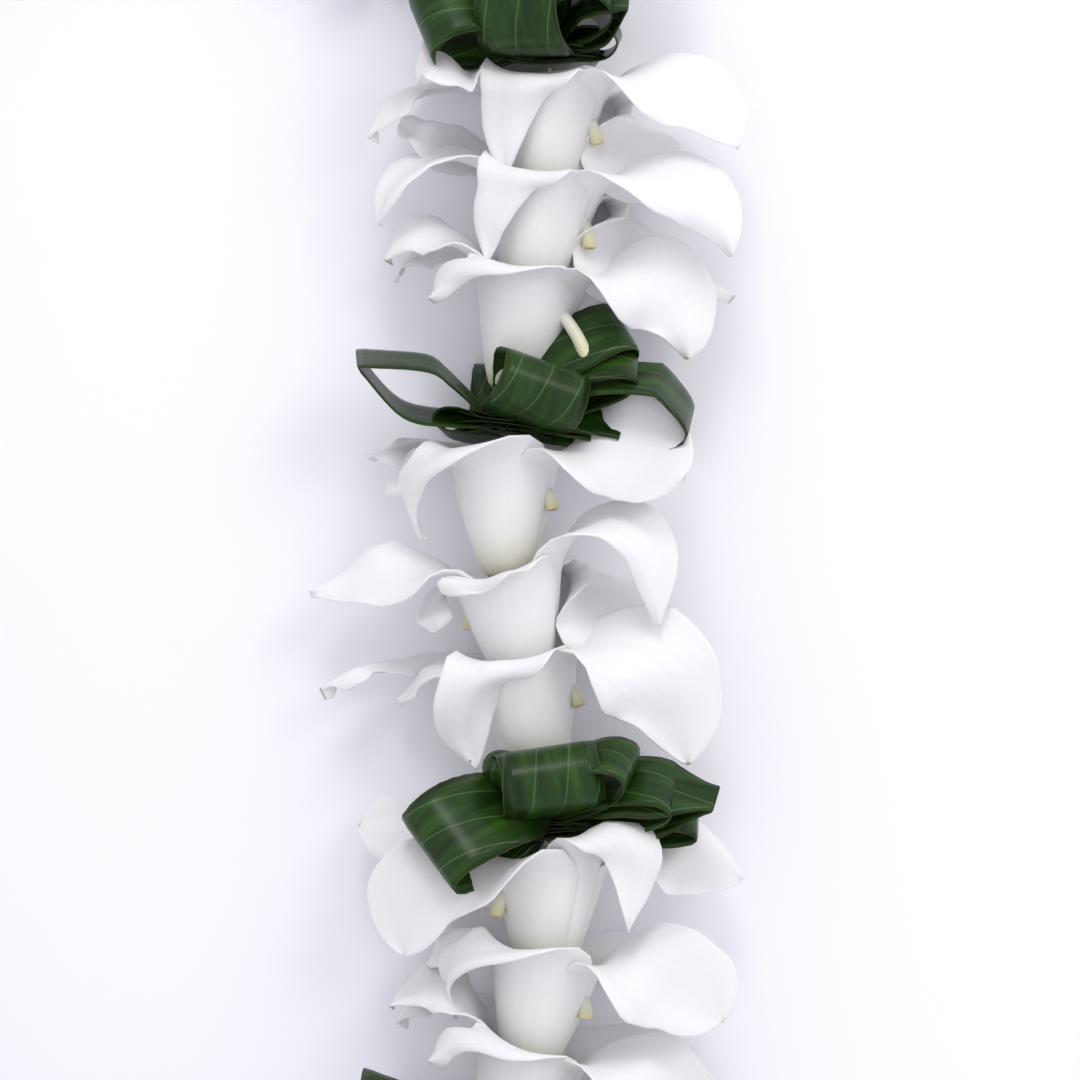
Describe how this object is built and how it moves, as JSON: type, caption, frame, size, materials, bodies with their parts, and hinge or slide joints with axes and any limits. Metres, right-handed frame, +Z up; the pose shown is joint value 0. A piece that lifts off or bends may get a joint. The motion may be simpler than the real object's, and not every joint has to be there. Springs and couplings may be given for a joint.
{
  "type": "fresh flower lei",
  "caption": "Closed garland to wear round the neck: white orchid flowers strung mouth to base on a thread, with folded dark green leaf rosettes between groups of flowers",
  "frame": {"origin": "middle of the footprint, on the table that the lei lies on", "axes": "+Z up from the table; +Y along the two straight runs of the long loop; +X across the loop, towards the run whose flowers open to +Y"},
  "size_m": [0.2568, 0.4488, 0.0403],
  "materials": {
    "petal": "soft satin white, cream towards the base",
    "leaf": "satin dark green with fine lengthwise veins",
    "cotton": "matt cream twisted cotton"
  },
  "bodies": {
    "root": {"flower_01": "petal", "flower_02": "petal", "flower_03": "petal", "flower_04": "petal", "flower_05": "petal", "flower_06": "petal", "flower_07": "petal", "flower_08": "petal", "flower_09": "petal", "flower_10": "petal", "flower_11": "petal", "flower_12": "petal", "flower_13": "petal", "flower_14": "petal", "flower_15": "petal", "flower_16": "petal", "flower_17": "petal", "flower_18": "petal", "flower_19": "petal", "flower_20": "petal", "flower_21": "petal", "flower_22": "petal", "flower_23": "petal", "flower_24": "petal", "flower_25": "petal", "flower_26": "petal", "flower_27": "petal", "flower_28": "petal", "flower_29": "petal", "flower_30": "petal", "flower_31": "petal", "flower_32": "petal", "flower_33": "petal", "flower_34": "petal", "flower_35": "petal", "flower_36": "petal", "leaf_rosette_01": "leaf", "leaf_rosette_02": "leaf", "leaf_rosette_03": "leaf", "leaf_rosette_04": "leaf", "leaf_rosette_05": "leaf", "leaf_rosette_06": "leaf", "leaf_rosette_07": "leaf", "leaf_rosette_08": "leaf", "leaf_rosette_09": "leaf", "leaf_rosette_10": "leaf", "leaf_rosette_11": "leaf", "leaf_rosette_12": "leaf", "thread": "cotton"}
  },
  "joints": []
}
